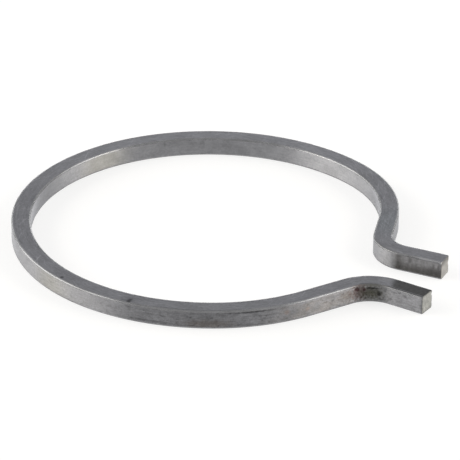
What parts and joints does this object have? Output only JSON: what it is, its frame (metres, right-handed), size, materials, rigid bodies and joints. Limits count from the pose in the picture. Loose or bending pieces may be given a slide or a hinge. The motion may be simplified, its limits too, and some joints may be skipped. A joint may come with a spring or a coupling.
{
  "type": "retaining ring",
  "caption": "Open retaining ring of square spring wire, its ends turned outwards in S bends into ears, sprung into a shaft groove to hold a bearing or gear.",
  "frame": {"origin": "on the axis of the ring's round part, level with its lower face", "axes": "+Z along the ring's axis, +X from the axis through the middle of the gap between the ears, +Y towards the ear with the tight bend"},
  "size_m": [0.097, 0.084, 0.004],
  "materials": {
    "spring_steel": "satin, dark grey"
  },
  "bodies": {
    "root": {"retaining_ring": "spring_steel"}
  },
  "joints": []
}
